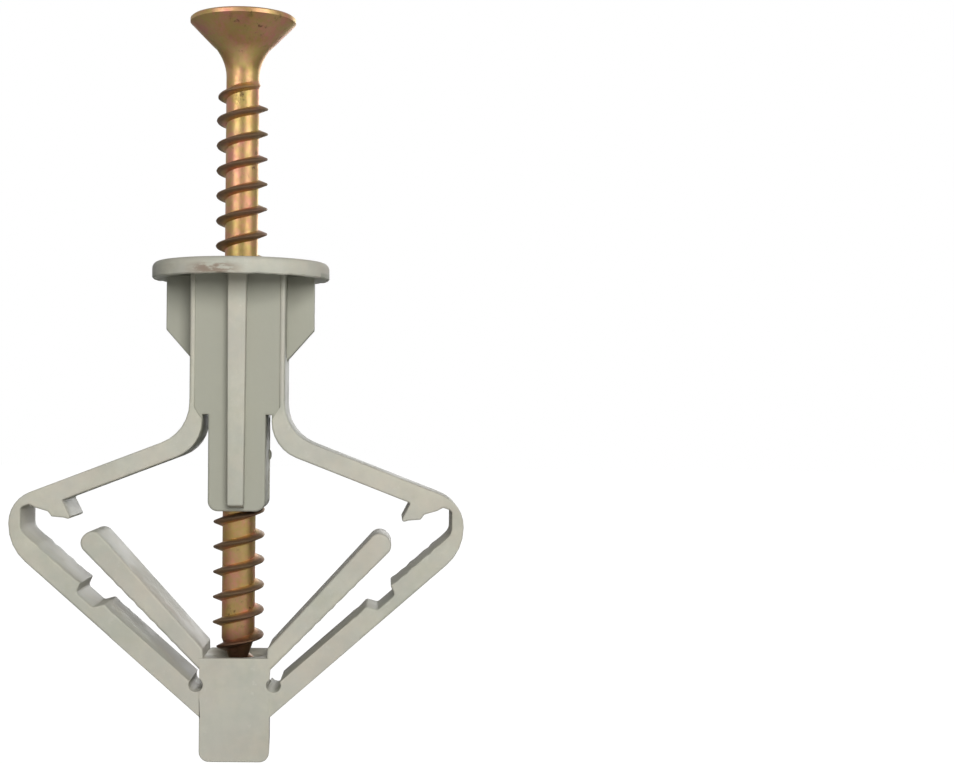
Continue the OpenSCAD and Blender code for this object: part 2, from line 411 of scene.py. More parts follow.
class Tree:
    """A small helper that adds and links the nodes of one node tree."""

    def __init__(self, tree: bpy.types.NodeTree) -> None:
        """Keeps the tree that the nodes go in."""
        self.tree = tree

    def add(self, kind: str, **settings: object) -> bpy.types.Node:
        """Adds a node.

        Args:
            kind: its type, without the ShaderNode prefix.
            **settings: properties to set on it.

        Returns:
            The node.
        """
        node = self.tree.nodes.new("ShaderNode" + kind)
        for key, value in settings.items():
            setattr(node, key, value)
        return node

    def wire(self, source: Socket | float | Sequence[float],
             target: Socket) -> None:
        """Links a socket to another, or sets a plain value on it.

        Args:
            source: the socket or the value.
            target: the input that takes it.
        """
        if isinstance(source, Socket):
            self.tree.links.new(source, target)
        else:
            target.default_value = source

    def maths(self, operation: str, *values: object) -> Socket:
        """A Math node fed with sockets or numbers.

        Args:
            operation: the node's operation.
            *values: its inputs in order.

        Returns:
            Its result.
        """
        node = self.add("Math", operation=operation)
        for value, socket in zip(values, node.inputs):
            self.wire(value, socket)
        return node.outputs[0]

    def times(self, first: object, second: object) -> Socket:
        """The product of two sockets or numbers."""
        return self.maths("MULTIPLY", first, second)

    def measure(self, operation: str, *values: object) -> Socket:
        """The number that a Vector Math node gives, such as a length or a dot product.

        Args:
            operation: the node's operation.
            *values: its inputs in order.

        Returns:
            Its result.
        """
        node = self.add("VectorMath", operation=operation)
        for value, socket in zip(values, node.inputs):
            self.wire(value, socket)
        return node.outputs["Value"]

    def span(self, value: Socket, low: float, high: float,
             to_low: float = 0.0, to_high: float = 1.0) -> Socket:
        """Maps low..high smoothly to another range, and holds it at the ends.

        Args:
            value: the number that is mapped.
            low: where the first range starts.
            high: where it ends.
            to_low: what low becomes.
            to_high: what high becomes.

        Returns:
            The mapped number.
        """
        node = self.add("MapRange", interpolation_type="SMOOTHSTEP")
        for i, part in enumerate((value, low, high, to_low, to_high)):
            self.wire(part, node.inputs[i])
        return node.outputs[0]

    def mix(self, factor: object, first: object, second: object) -> Socket:
        """Mixes two colours.

        Args:
            factor: share of the second.
            first: one colour.
            second: the other.

        Returns:
            The mixed colour.
        """
        node = self.add("Mix", data_type="RGBA")
        for value, i in ((factor, 0), (first, 6), (second, 7)):
            self.wire(value, node.inputs[i])
        return node.outputs[2]

    def pick(self, factor: object, first: object, second: object) -> Socket:
        """Mixes two numbers.

        Args:
            factor: share of the second.
            first: one number.
            second: the other.

        Returns:
            The mixed number.
        """
        node = self.add("Mix", data_type="FLOAT")
        for value, i in ((factor, 0), (first, 2), (second, 3)):
            self.wire(value, node.inputs[i])
        return node.outputs[0]

    def bump(self, height: Socket, strength: float, distance: float) -> Socket:
        """Bends the surface normal by a height.

        Args:
            height: the height.
            strength: how much it counts.
            distance: how deep it is, in millimetres.

        Returns:
            The bent normal.
        """
        node = self.add("Bump")
        node.inputs["Strength"].default_value = strength
        node.inputs["Distance"].default_value = distance * MM
        self.wire(height, node.inputs["Height"])
        return node.outputs["Normal"]

    def noise(self, place: Socket, scale: object, detail: float, rough: float = 0.5) -> Socket:
        """A noise pattern at that place.

        Args:
            place: the coordinates that it reads.
            scale: its scale.
            detail: its detail.
            rough: its roughness.

        Returns:
            The pattern.
        """
        node = self.add("TexNoise")
        self.wire(place, node.inputs["Vector"])
        self.wire(scale, node.inputs["Scale"])
        node.inputs["Detail"].default_value = detail
        node.inputs["Roughness"].default_value = rough
        return node.outputs["Fac"]

    def place(self, offset: Triple = (0, 0, 0), stretch: Triple = (1, 1, 1)) -> Socket:
        """Object coordinates in millimetres, moved and stretched.

        Args:
            offset: how far they are moved.
            stretch: how they are scaled.

        Returns:
            The coordinates.
        """
        coordinates = self.add("TexCoord")
        mapping = self.add("Mapping")
        self.wire(coordinates.outputs["Object"], mapping.inputs["Vector"])
        mapping.inputs["Location"].default_value = offset
        mapping.inputs["Scale"].default_value = [s / MM for s in stretch]
        return mapping.outputs[0]


def new_material(name: str) -> tuple[bpy.types.Material, Tree, bpy.types.Node]:
    """Starts a material.

    Args:
        name: its name.

    Returns:
        The material, its nodes and its shader.
    """
    material = bpy.data.materials.new(name)
    material.use_nodes = True
    return material, Tree(material.node_tree), material.node_tree.nodes["Principled BSDF"]


class Effect(Enum):
    """Shared surface effects, each one node group with a mask or height as its output."""

    MOTTLE = "mottle"
    GRAIN = "grain"
    SCUFF = "scuff"

    def _build(self) -> bpy.types.NodeTree:
        """Builds the effect's node group."""
        group = bpy.data.node_groups.new(self.value, "ShaderNodeTree")
        sockets = group.interface
        sockets.new_socket("Place", in_out="INPUT", socket_type="NodeSocketVector")
        sockets.new_socket("Scale", in_out="INPUT", socket_type="NodeSocketFloat")
        sockets.new_socket("Mask", in_out="OUTPUT", socket_type="NodeSocketFloat")
        tree = Tree(group)
        start, end = group.nodes.new("NodeGroupInput"), group.nodes.new("NodeGroupOutput")
        place, scale = start.outputs["Place"], start.outputs["Scale"]
        if self is Effect.MOTTLE:
            broad = tree.noise(place, scale, 3.0, 0.55)
            small = tree.noise(place, tree.times(scale, 5.3), 4.0, 0.6)
            both = tree.maths("MULTIPLY_ADD", small, 0.35, tree.times(broad, 0.65))
            made = tree.span(both, 0.36, 0.64)
        elif self is Effect.GRAIN:
            fine = tree.noise(place, scale, 5.0, 0.65)
            pits = tree.noise(place, tree.times(scale, 0.22), 2.0)
            made = tree.maths("MULTIPLY_ADD", pits, 0.8, tree.times(fine, 0.45))
        else:
            cells = tree.noise(place, scale, 6.0, 0.72)
            gaps = tree.noise(place, tree.times(scale, 0.31), 2.0)
            made = tree.times(tree.span(cells, 0.56, 0.68), tree.span(gaps, 0.45, 0.65))
        tree.wire(made, end.inputs["Mask"])
        return group

    def use(self, tree: Tree, place: Socket, scale: float) -> Socket:
        """Places the effect in a material.

        Args:
            tree: the material's nodes.
            place: the coordinates that it reads, in millimetres.
            scale: its pattern's scale.

        Returns:
            The socket of its mask or height.
        """
        group = bpy.data.node_groups.get(self.value) or self._build()
        node = tree.add("Group")
        node.node_tree = group
        tree.wire(place, node.inputs["Place"])
        node.inputs["Scale"].default_value = scale
        return node.outputs["Mask"]


@dataclass(frozen=True)
class MouldedPlastic:
    """Pale grey moulded plastic: mottled, a little uneven, scuffed where it is handled, and with
    painted shade on the faces between the ribs and the fins.

    Attributes:
        pale: its lighter tone.
        deep: its deeper tone.
        warm: tone of its faint warm patches.
        cool: tone of its faint cool patches.
        stain: tone of the brown smear on the flange's rim.
        smear: place of that smear.
        rough: painted shade, a deeper tone on the faces between the ribs, the fins and the barrel's
            edges, where shade falls.
        rough_y: how near the axis those faces are, front and back.
        rough_z: lowest and highest level of those faces.
        smear_stretch: how the smear's place is scaled, so that it's long and low.
        scuffed: tone of the scuffs.
    """

    pale: Colour = (0.52, 0.505, 0.415, 1)
    deep: Colour = (0.43, 0.425, 0.345, 1)
    warm: Colour = (0.50, 0.435, 0.38, 1)
    cool: Colour = (0.40, 0.42, 0.39, 1)
    stain: Colour = (0.20, 0.135, 0.095, 1)
    smear: Triple = (-1.5, -6.4, 0.4)
    # Painted shade: a deeper tone for the faces between the ribs and the fins, where shade falls.
    rough: Colour = (0.335, 0.335, 0.275, 1)
    rough_y: float = 2.63
    rough_z: Pair = (-18.3, 0.5)
    smear_stretch: Triple = (0.42, 0.5, 1.6)
    scuffed: Colour = (0.62, 0.61, 0.55, 1)

    def build(self) -> bpy.types.Material:
        """Builds the material."""
        material, tree, shader = new_material("pale_moulded_plastic")
        place = tree.place()
        mottle = Effect.MOTTLE.use(tree, place, 0.22)
        tone = tree.mix(mottle, self.deep, self.pale)
        warm = Effect.MOTTLE.use(tree, tree.place((31, 7, 3)), 0.16)
        tone = tree.mix(tree.times(warm, 0.4), tone, self.warm)
        cool = Effect.MOTTLE.use(tree, tree.place((3, 17, 41)), 0.3)
        tone = tree.mix(tree.times(cool, 0.35), tone, self.cool)
        scuff = Effect.SCUFF.use(tree, place, 1.7)
        tone = tree.mix(tree.times(scuff, 0.35), tone, self.scuffed)
        offset = [-s * t for s, t in zip(self.smear, self.smear_stretch)]
        near = tree.span(tree.measure("LENGTH", tree.place(offset, self.smear_stretch)), 1.15, 0.25)
        streak = tree.span(tree.noise(tree.place(stretch=(1, 1, 3)), 0.9, 4.0, 0.6), 0.36, 0.54)
        tone = tree.mix(tree.times(tree.times(near, streak), 0.8), tone, self.stain)
        # Painted shade on the faces between the ribs, the fins and the barrel's edges, and on the
        # slot walls beside them.
        tone = tree.mix(tree.times(self._between_ribs(tree, place), 0.85), tone, self.rough)
        tree.wire(tone, shader.inputs["Base Color"])
        rough = tree.span(mottle, 0.0, 1.0, 0.42, 0.56)
        tree.wire(tree.maths("MULTIPLY_ADD", scuff, 0.14, rough), shader.inputs["Roughness"])
        shader.inputs["Specular IOR Level"].default_value = 0.42
        flow = tree.times(tree.noise(tree.place((5, 1, 2)), 0.75, 2.0), 2.2)
        height = tree.maths("ADD", Effect.GRAIN.use(tree, place, 7.0), flow)
        tree.wire(tree.bump(height, 0.16, 0.06), shader.inputs["Normal"])
        return material

    def _between_ribs(self, tree: Tree, place: Socket) -> Socket:
        """Mask of the painted shade on the faces between the ribs, the fins and the barrel's edges.

        Args:
            tree: the material's nodes.
            place: coordinates in millimetres.

        Returns:
            The mask.
        """
        parts = tree.add("SeparateXYZ")
        tree.wire(place, parts.inputs[0])
        x, y, z = parts.outputs
        low, high = self.rough_z
        beside = tree.span(tree.maths("ABSOLUTE", x), 7.2, 6.4)
        inside = tree.span(tree.maths("ABSOLUTE", y), self.rough_y + 0.07, self.rough_y)
        level = tree.times(tree.span(z, high, high - 0.2), tree.span(z, low, low + 1.3))
        return tree.times(tree.times(beside, inside), level)


@dataclass(frozen=True)
class PlatedSteel:
    """Yellow-plated steel with its rainbow sheen, dull on the thread's crests.

    Attributes:
        gold: its main tone.
        rose: tone of its pink patches.
        straw: tone of its green-yellow patches.
        crest: tone of the rubbed crests of the thread.
        soot: tone of the darker spots in the plating.
        crest_r: radius where the crests' tone is full.
        point_z: level where the point starts, below which the tone is darker.
        cone_z: level of the head's cone, which keeps its plating.
    """

    gold: Colour = (0.66, 0.40, 0.15, 1)
    rose: Colour = (0.82, 0.36, 0.27, 1)
    straw: Colour = (0.60, 0.53, 0.17, 1)
    crest: Colour = (0.27, 0.185, 0.125, 1)
    soot: Colour = (0.13, 0.06, 0.035, 1)
    crest_r: float = 1.75
    point_z: float = -27.4
    cone_z: float = 15.6

    def build(self) -> bpy.types.Material:
        """Builds the material."""
        material, tree, shader = new_material("yellow_plated_steel")
        place = tree.place()
        tone = tree.mix(Effect.MOTTLE.use(tree, place, 0.62), self.gold, self.rose)
        straw = Effect.MOTTLE.use(tree, tree.place((13, 4, 9)), 0.62)
        tone = tree.mix(tree.times(straw, 0.6), tone, self.straw)
        spots = Effect.SCUFF.use(tree, tree.place((1, 8, 2)), 1.4)
        tone = tree.mix(tree.times(spots, 0.8), tone, self.soot)
        parts = tree.add("SeparateXYZ")
        tree.wire(place, parts.inputs[0])
        x, y, z = parts.outputs
        radius = tree.maths("SQRT", tree.maths("ADD", tree.times(x, x), tree.times(y, y)))
        below_head = tree.span(z, self.cone_z, self.cone_z - 0.4)
        outer = tree.times(tree.span(radius, 1.3, self.crest_r), below_head)
        tone = tree.mix(tree.times(outer, 0.85), tone, self.crest)
        dark = tree.span(z, self.point_z + 1.6, self.point_z - 0.4)
        tone = tree.mix(tree.times(dark, 0.8), tone, self.soot)
        tree.wire(tone, shader.inputs["Base Color"])
        shader.inputs["Metallic"].default_value = 0.9
        mottle = Effect.MOTTLE.use(tree, tree.place((2, 2, 6)), 1.1)
        rough = tree.span(mottle, 0.0, 1.0, 0.32, 0.46)
        tree.wire(tree.maths("MULTIPLY_ADD", outer, 0.15, rough), shader.inputs["Roughness"])
        grain = Effect.GRAIN.use(tree, place, 4.0)
        tree.wire(tree.bump(grain, 0.25, 0.05), shader.inputs["Normal"])
        return material


@dataclass
class Dresser:
    """Gives pieces their finish and ties them to the frame."""

    finishes: dict[Slot, bpy.types.Material]

    def dress(self, piece: Piece, slot: Slot, nodes: Sequence[str]) -> None:
        """Gives a piece its material in its slot, and hides the CAD nodes that it stands for.

        Args:
            piece: the piece.
            slot: its material slot.
            nodes: the CAD nodes.
        """
        piece.data.materials.clear()
        piece.data.materials.append(self.finishes[slot])
        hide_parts(*nodes)
        log.info("%s: %d faces", piece.name, len(piece.data.polygons))

    def ride(self, piece: Piece, body: str, slot: Slot, nodes: Sequence[str]) -> None:
        """Dresses a piece that moves with one body."""
        self.dress(piece, slot, nodes)
        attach(piece, body)

    def bend(self, piece: Piece,
             nodes: Sequence[str]) -> None:
        """Dresses a band of the moulding between two bodies, and bakes its place into its mesh.

        Args:
            piece: the band.
            nodes: the CAD nodes that it stands for.
        """
        self.dress(piece, Slot.MOULDING, nodes)
        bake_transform(piece)


# --- sub-assemblies ------------------------------------------------------------------------


@dataclass
class Collar:
    """The part of the moulding that stays in the wall: flange, barrel, guide tube, ribs, fins.

    Attributes:
        bore_r: bore that the screw runs through.
        sink_r: radius of the small countersink at the top of the bore.
        sink_z: level where the countersink meets the bore.
        rim_r: rounding of the flange's top edge.
        edge_r: rounding of the front and back edges.
        seam_z: levels where the shoulders take over, on the outer wall and in the slot.
        slot_top: level of the top of the slots beside the guide tube.
        slot_x: outer side of those slots.
        tube_x: half width of the guide tube.
        tube_corner_r: rounding of its bottom corners.
        rib_tip_w: width of a rib at its foot.
        rib_fade: length of the slope at a rib's foot.
        rib_r: rounding of a rib's outer edges.
        overlap: how far a rib and a fin reach into the barrel's levels at their roots.
        rag: unevenness of the lower edge of the flange's rim.
        dish: how far the flange's underside is dished round the barrel.
        panel_depth: how far the faces beside the ribs lie below the strips at the barrel's sides.
        strip_w: width of those strips.
        nub_z: level of the nub on the guide tube's moulding seam.
    """

    bore_r: float = 2.03
    sink_r: float = 2.42
    sink_z: float = 0.9
    rim_r: float = 0.5
    edge_r: float = 0.2
    seam_z: Pair = SEAM_Z
    slot_top: float = -10.2
    slot_x: float = SLOT_X
    tube_x: float = 2.14
    tube_corner_r: float = 0.75
    rib_tip_w: float = 1.2
    rib_fade: float = 0.3
    rib_r: float = 0.14
    overlap: float = 0.15
    rag: float = 0.035
    dish: float = 0.35
    panel_depth: float = 0.15
    strip_w: float = 0.42
    nub_z: float = -13.25

    def flange(self) -> Piece:
        """The disc that bears on the wall, with its bore and small countersink."""
        rim, top = half_width("flange", 0), levels("flange")[1]
        under = [(self.bore_r, self.dish), (rim - 2.4, self.dish), (rim - 0.35, 0.0),
                 (rim - 0.08, 0.0), (rim, 0.08)]
        edge = arc((rim - self.rim_r, top - self.rim_r), self.rim_r, 0, 90, 6)
        profile = [*under, *((c.x, c.z) for c in edge), (self.sink_r, top),
                   (self.bore_r, self.sink_z)]
        bm = lathe(profile)
        for v in bm.verts:
            if v.co.z < 0.1 and v.co.xy.length > rim - 0.5:
                turn = math.atan2(v.co.y, v.co.x)
                v.co.z += self.rag * (1 + math.sin(23 * turn) * math.sin(9 * turn + 1))
        return to_object("flange_disc", bm)

    def barrel(self) -> Piece:
        """The barrel and the guide tube below it, with the slots between them."""
        wall = half_width("barrel", 0) - 0.02
        foot = levels("guide_tube")[0]
        high, low = self.seam_z
        root = self.dish + self.overlap
        right = [Corner(wall, root), Corner(wall, high, seam=True), Corner(self.slot_x, low),
                 Corner(self.slot_x, self.slot_top), Corner(self.tube_x, self.slot_top),
                 Corner(self.tube_x, foot, self.tube_corner_r)]
        left = [replace(c, x=-c.x, seam=i == 3) for i, c in enumerate(reversed(right))]
        depth = 2 * (half_width("right_upper_arm", 1) - self.panel_depth)
        bm = slab(Outline(right + left, spacing=2.0), depth, self.edge_r)
        piece = to_object("barrel_and_guide_tube", bm)
        bore = [(0, 0.5), (self.bore_r, 0.5), (self.bore_r, foot + 0.3),
                (self.bore_r + 0.12, foot - 1), (0, foot - 1)]
        combine(piece, to_object("bore", lathe(bore, BORE_STEPS)))
        return piece

    def edge(self, side: Side) -> Piece:
        """The strip that stands proud along one side of the barrel, down to the shoulder.

        Args:
            side: the side that it is on.

        Returns:
            The strip.
        """
        wall, (high, low) = half_width("barrel", 0), self.seam_z
        inner, root = wall - self.strip_w, self.dish + 0.1
        meet = high + (low - high) * self.strip_w / (wall - self.slot_x)
        corners = [Corner(wall, root), Corner(wall, high, seam=True), Corner(inner, meet),
                   Corner(inner, root)]
        depth = 2 * half_width("right_upper_arm", 1)
        bm = slab(Outline(corners, spacing=2.0), depth, self.edge_r, side)
        return to_object(f"{side.label}_barrel_edge", bm)

    def rib(self, front: bool) -> Piece:
        """One long rib, narrower towards its foot, where it ends in a short slope.

        Args:
            front: True for the front rib, False for the back one.

        Returns:
            The rib.
        """
        face, proud = half_width("barrel", 1), half_width("front_rib", 1)
        foot, width = levels("front_rib")[0], 2 * half_width("front_rib", 0)
        root, buried = self.dish + self.overlap, face - 0.6
        outline = [(buried, root), (proud, root), (proud, foot + self.rib_fade),
                   (face + 0.1, foot + 0.1), (buried, foot + 0.1)]
        bm = bmesh.new()
        extrude(bm, [(-width / 2, -y, z) for y, z in outline], (width, 0, 0))
        for v in bm.verts:
            share = unit(v.co.z / foot)
            v.co.x *= 1 - share * (1 - self.rib_tip_w / width)
        soften(bm, [e for e in bm.edges if all(v.co.y < -face - 0.05 for v in e.verts)], self.rib_r)
        if not front:
            half_turn = Matrix.Rotation(math.pi, 3, "Z")
            bmesh.ops.rotate(bm, cent=(0, 0, 0), matrix=half_turn, verts=bm.verts)
        bmesh.ops.recalc_face_normals(bm, faces=bm.faces)
        return to_object("front_rib_bar" if front else "back_rib_bar", bm)

    def fin(self, side: Side) -> Piece:
        """One side fin, a plate whose lower edge slants in to the barrel.

        Args:
            side: the side that it is on.

        Returns:
            The fin.
        """
        root, sunk = half_width("barrel", 0), 0.2
        reach, foot = half_width("right_fin", 0), levels("right_fin")[0]
        straight = foot + (reach - root) * 1.15
        corners = [Corner(root - sunk, self.dish), Corner(reach, self.dish),
                   Corner(reach, straight, 0.15), Corner(root - sunk, foot - sunk)]
        bm = slab(Outline(corners, spacing=3), 2 * half_width("right_fin", 1), 0.12, side)
        return to_object(f"{side.label}_fin_plate", bm)

    def flash(self) -> Piece:
        """The thin moulding seam down the guide tube's side, with its nub."""
        top, foot, seam_y = self.slot_top - 0.2, levels("guide_tube")[0] + 0.8, 1.2
        bm = bmesh.new()
        bmesh.ops.create_cube(bm, size=1)
        bmesh.ops.scale(bm, vec=(0.22, 0.1, top - foot), verts=bm.verts)
        bmesh.ops.subdivide_edges(bm, edges=bm.edges, cuts=15, use_grid_fill=True)
        for v in bm.verts:
            v.co.x += 0.035 * math.sin(7.3 * v.co.z) * math.sin(2.9 * v.co.z + 1)
        middle = (self.tube_x - 0.05, seam_y, (top + foot) / 2)
        bmesh.ops.translate(bm, vec=middle, verts=bm.verts)
        nub = bmesh.ops.create_icosphere(bm, subdivisions=3, radius=0.32)["verts"]
        bmesh.ops.scale(bm, vec=(0.75, 0.6, 1.35), verts=nub)
        bmesh.ops.translate(bm, vec=(self.tube_x - 0.02, seam_y, self.nub_z), verts=nub)
        return to_object("tube_flash_seam", bm)

    def make(self, dresser: Dresser) -> None:
        """Builds and dresses the collar's pieces.

        Args:
            dresser: gives the pieces their finish and bodies.
        """
        pieces = [(self.flange(), ["flange"]), (self.barrel(), ["barrel", "guide_tube"]),
                  (self.rib(True), ["front_rib"]), (self.rib(False), ["back_rib"]),
                  (self.flash(), [])]
        for side in Side:
            pieces += [(self.fin(side), [f"{side.label}_fin"]), (self.edge(side), ["barrel"])]
        for piece, nodes in pieces:
            dresser.ride(piece, "collar", Slot.MOULDING, nodes)


@dataclass
class Wing:
    """One wing: a single ribbon of the moulding from the barrel's wall round to the nut block.

    Attributes:
        side: the side of the axis that it is on.
        edge_r: rounding of its front and back edges.
        upper: the upper arm.
        lower: the lower arm.
        seam_z: levels where the shoulder starts, on the outer wall and in the slot.
        slot_x: outer side of that slot.
        shoulder_r: outer and inner radius of the shoulder's bend.
        elbow_r: radii of the elbow's bend, where it leaves the upper arm and joins the lower.
        pocket_x: reach of the pocket inside the elbow.
        upper_seam: place along the upper arm where the elbow's band takes over.
        lower_seam: place along the lower arm where the waist's band takes over.
        foot_seam: distance from the waist to where the hip's end takes over.
        notch: keyhole beside the nut block, as its centre and radius.
        sunk_x: how near the axis the hip's end reaches inside the block.
        catch: corners of the catch from the elbow to its hook, each as x, z and fillet radius.
        recess: corners of the lower arm's inner line across the waist, each as its distance from
            the waist, its extra depth and its fillet radius.
        strut_slope: angle of the strut above the horizontal.
        strut_short: how far the strut's tip stays clear of the catch.
    """

    side: Side
    edge_r: float = 0.2
    upper: Bar = Bar(Vector((5.6, -12.3)), -21.1, 1.42, -1)
    lower: Bar = Bar(Vector((12.8, -23.77)), 41.2, 1.52, 1)
    seam_z: Pair = SEAM_Z
    slot_x: float = SLOT_X
    shoulder_r: Pair = (3.2, 2.9)
    elbow_r: Pair = (2.45, 3.7)
    pocket_x: float = 16.03
    upper_seam: float = 3.4
    lower_seam: float = 2.6
    foot_seam: float = 3.2
    notch: tuple[Pair, float] = KEYHOLE
    sunk_x: float = 2.2
    catch: Sequence[Triple] = (
        (15.4, -16.98, 0.2), (14.95, -17.22, 0.2), (14.0, -17.5, 0.2), (13.72, -17.88, 0.18),
        (12.85, -17.95, 0.3), (12.2, -18.12, 0.16))
    recess: Sequence[Triple] = (
        (-1.7, 0.02, 0.3), (-1.3, 0.08, 0.3), (-0.8, -0.68, 0.3), (0.85, -0.68, 0.3),
        (1.1, 0.08, 0.15))
    strut_slope: float = 47.0
    strut_short: float = 0.7

    def __post_init__(self) -> None:
        """Reads the hinges and sizes from the frame."""
        label = self.side.label
        self.depth = 2 * half_width(f"{label}_upper_arm", 1)
        self.wall = half_width("barrel", 0)
        self.reach = half_width(f"{label}_elbow_arm", 0) - 0.02
        waist = hinge_point(f"{label}_waist_bend")
        way = math.radians(self.lower.slope)
        self.waist = (waist - self.lower.foot).dot(Vector((math.cos(way), math.sin(way))))

    def _band(self, corners: Sequence[Corner]) -> Mesh:
        """A slab of the ribbon's depth, on this wing's side."""
        return slab(Outline(corners), self.depth, self.edge_r, self.side)

    def shoulder(self) -> Mesh:
        """The band from the barrel's wall to the middle of the upper arm."""
        arm, (outer, inner) = self.upper, self.shoulder_r
        return self._band([
            Corner(self.slot_x, self.seam_z[1], seam=True), Corner(self.wall, self.seam_z[0]),
            Corner(self.wall, arm.height(self.wall), outer),
            arm.corner(self.upper_seam, 0, seam=True),
            arm.corner(self.upper_seam, arm.thickness),
            Corner(self.slot_x, arm.height(self.slot_x, arm.thickness), inner),
        ])

    def elbow(self) -> Mesh:
        """The band round the elbow, with the catch under the upper arm."""
        arm, low = self.upper, self.lower
        return self._band([
            arm.corner(self.upper_seam, 0),
            Corner(self.reach, arm.height(self.reach), self.elbow_r[0]),
            Corner(self.reach, low.height(self.reach), self.elbow_r[1]),
            low.corner(self.lower_seam, 0, seam=True),
            low.corner(self.lower_seam, low.thickness, ripple=0.05),
            Corner(self.pocket_x, low.height(self.pocket_x, low.thickness), 0.9),
            Corner(self.pocket_x, -17.2, 0.3), *(Corner(*corner) for corner in self.catch),
            Corner(12.95, arm.height(12.95, arm.thickness), 0.12),
            arm.corner(self.upper_seam, arm.thickness, seam=True),
        ])

    def waist_band(self) -> Mesh:
        """The band across the waist, where a recess thins the lower arm."""
        low, w = self.lower, self.waist
        foot, full = w - self.foot_seam, self.lower.thickness
        return self._band([
            low.corner(self.lower_seam, 0), low.corner(foot, 0, seam=True),
            low.corner(foot, full, ripple=0.05),
            *(low.corner(w + along, full + extra, r=r) for along, extra, r in self.recess),
            low.corner(w + 1.7, full, r=0.3, ripple=0.04),
            low.corner(self.lower_seam, full, seam=True),
        ])

    def hip(self) -> Mesh:
        """The inner end of the lower arm, which ends inside the nut block's side."""
        low, start, sunk = self.lower, self.waist - self.foot_seam, self.sunk_x
        centre, r = self.notch
        return self._band([
            low.corner(start, 0), Corner(sunk + 0.35, low.height(sunk + 0.35)),
            Corner(sunk, centre[1] - 1.8), Corner(sunk, centre[1] - 0.6),
            *arc(centre, r - 0.01, -150, 31, 14),
            low.corner(start, low.thickness, seam=True),
        ])

    def strut(self) -> Mesh:
        """The strut that stands on the block's corner, thicker towards its round tip."""
        label = self.side.label
        root = hinge_point(f"{label}_strut_bend")
        length = levels(f"{label}_strut")[1] - root.y
        bar = Bar(root, self.strut_slope, 0, 1)
        tip = length / math.sin(math.radians(bar.slope)) - self.strut_short
        return self._band([
            bar.corner(-0.62, -0.05, ripple=0.03), bar.corner(tip, -0.45, r=0.8),
            bar.corner(tip, 1.3, r=0.8), bar.corner(0.45, 1.18, r=0.25),
            Corner(root.x - 0.6, root.y - 0.4),
        ])

    def make(self, dresser: Dresser) -> None:
        """Builds the wing's bands and dresses them.

        Args:
            dresser: gives the pieces their finish and bodies.
        """
        s = self.side.label
        low, w = self.lower, self.waist
        bands = (
            ("shoulder_band", self.shoulder(), ("collar", f"{s}_upper"),
             Vector((3.3, -10.2)), Vector((5.4, -12.87)), [f"{s}_upper_arm"]),
            ("elbow_band", self.elbow(), (f"{s}_upper", f"{s}_forearm"),
             Vector((14.6, -17.2)), Vector((15.9, -19.75)), [f"{s}_catch", f"{s}_elbow_arm"]),
            ("waist_band", self.waist_band(), (f"{s}_forearm", f"{s}_foot"),
             Vector(low.at(w + 1.2, 0.4)), Vector(low.at(w - 1.2, 0.4)), [f"{s}_elbow_arm"]),
            ("strut_bar", self.strut(), ("nut", f"{s}_stay"),
             Vector((2.45, -29.3)), Vector((3.8, -27.8)), [f"{s}_strut"]),
        )
        for name, bm, bodies, start, end, nodes in bands:
            dresser.bend(to_object(f"{s}_{name}", bm), nodes)
        end = to_object(f"{s}_hip_end", self.hip())
        dresser.ride(end, f"{s}_foot", Slot.MOULDING, [f"{s}_hip_arm"])


@dataclass
class NutBlock:
    """The block at the foot of the moulding, with the hole that the screw cuts into.

    Attributes:
        hole_r: radius of that hole.
        edge_r: rounding of its front and back edges.
        foot_r: rounding of its bottom corners.
        draft: how much each side leans in towards the back.
        hip_z: level where the outer line of the lower arms meets the block.
        notch: keyhole beside the block, as its centre and radius.
    """

    hole_r: float = Collar.bore_r
    edge_r: float = 0.42
    foot_r: float = 0.75
    draft: float = 0.34
    hip_z: float = -32.75
    notch: tuple[Pair, float] = KEYHOLE

    def make(self, dresser: Dresser) -> None:
        """Builds and dresses the block.

        Args:
            dresser: gives the pieces their finish and bodies.
        """
        wall, (foot, top) = half_width("nut_block", 0), levels("nut_block")
        centre, r = self.notch
        meet = math.degrees(math.acos((wall - centre[0]) / r))
        notch = arc(centre, r, 360 - meet, meet, 10)
        right = [Corner(wall, foot, self.foot_r), Corner(wall, self.hip_z, seam=True), *notch[:-1],
                 replace(notch[-1], seam=True), Corner(wall, top)]
        left = [Corner(-c.x, c.z, c.r, seam=i in (1, len(notch) + 1))
                for i, c in enumerate([Corner(wall, top), *reversed(right[:-1])], 1)]
        half = half_width("nut_block", 1)
        bm = slab(Outline(right + left, spacing=1.5), 2 * half, self.edge_r)
        for v in bm.verts:
            v.co.x *= 1 - self.draft / wall * (v.co.y + half) / (2 * half)
        piece = to_object("nut_block_body", bm)
        mouth = self.hole_r + 0.3
        hole = [(0, top + 1), (mouth, top + 1), (mouth, top + 0.01), (self.hole_r, top - 0.3),
                (self.hole_r, foot - 1), (0, foot - 1)]
        combine(piece, to_object("hole", lathe(hole, BORE_STEPS)))
        dresser.ride(piece, "nut", Slot.MOULDING, ["nut_block"])


